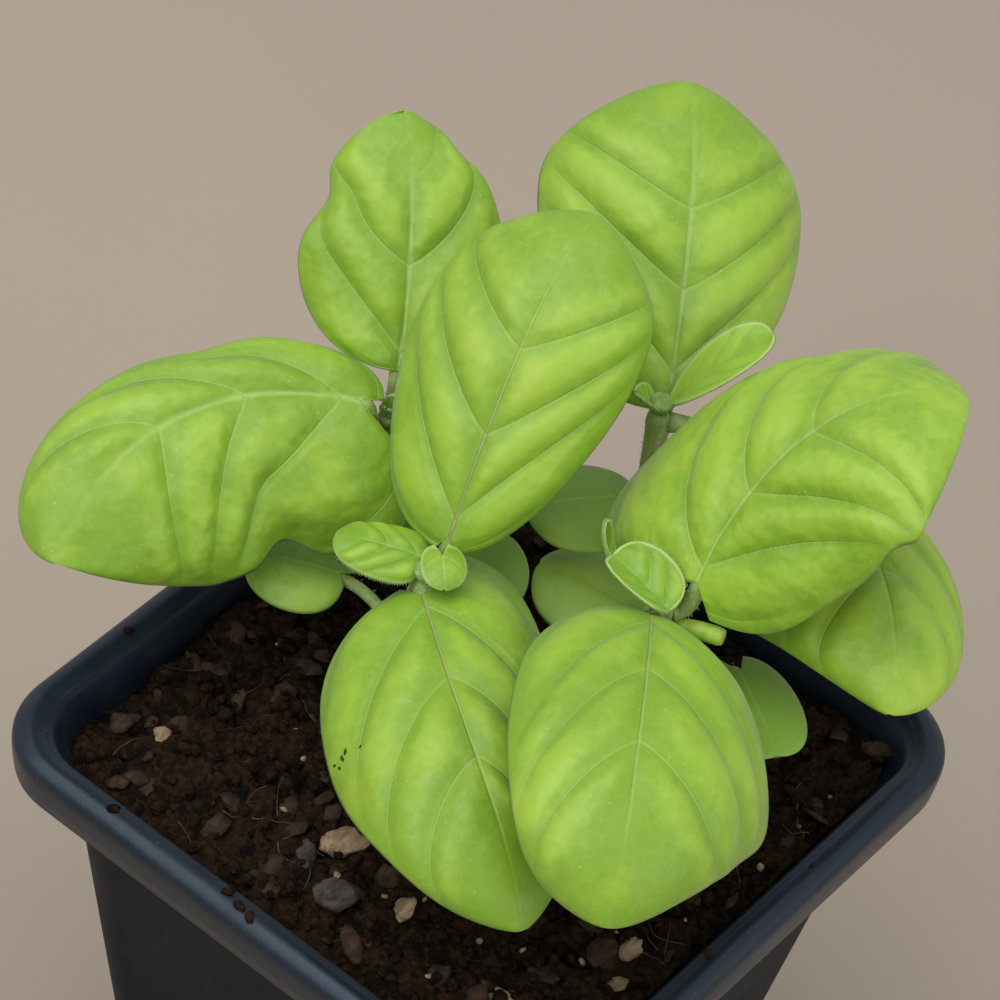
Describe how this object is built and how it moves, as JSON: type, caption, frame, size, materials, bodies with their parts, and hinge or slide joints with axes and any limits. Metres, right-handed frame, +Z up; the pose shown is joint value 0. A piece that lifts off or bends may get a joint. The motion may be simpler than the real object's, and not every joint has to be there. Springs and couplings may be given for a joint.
{
  "type": "potted mammoth basil",
  "caption": "Young large-leaved basil plants in a square plastic nursery pot filled with peat soil, with domed quilted leaves and small seed leaves.",
  "frame": {"origin": "the middle of the pot's underside", "axes": "+Z up; the pot's flat sides face +X, -X, +Y and -Y; the picture looks down on the corner at +X, -Y"},
  "size_m": [0.1029, 0.1161, 0.1512],
  "materials": {
    "pot_plastic": "satin injection-moulded plastic, blue-black",
    "peat": "damp dark brown peat with lighter bark chips",
    "leaf": "soft satin yellow-green leaf with impressed pale veins",
    "seed_leaf": "matt mid-green seed leaf",
    "young_leaf": "pale bright green young leaf with a pale margin",
    "stem": "pale green stem with a pinkish tinge and short fine hairs"
  },
  "bodies": {
    "root": {"pot": "pot_plastic", "soil": "peat", "stem_a": "stem", "stem_b": "stem", "stem_c": "stem", "stem_d": "stem", "tip_a": "young_leaf", "tip_b": "young_leaf", "tip_c": "young_leaf", "tip_d": "young_leaf", "leaf_a1": "leaf", "leaf_a2": "leaf", "leaf_b1": "leaf", "leaf_b2": "leaf", "leaf_c1": "leaf", "leaf_c2": "leaf", "leaf_d1": "leaf", "leaf_d2": "leaf", "cotyledon_a1": "seed_leaf", "cotyledon_a2": "seed_leaf", "cotyledon_b1": "seed_leaf", "cotyledon_b2": "seed_leaf", "cotyledon_c1": "seed_leaf", "cotyledon_c2": "seed_leaf", "cotyledon_d1": "seed_leaf", "cotyledon_d2": "seed_leaf"}
  },
  "joints": []
}
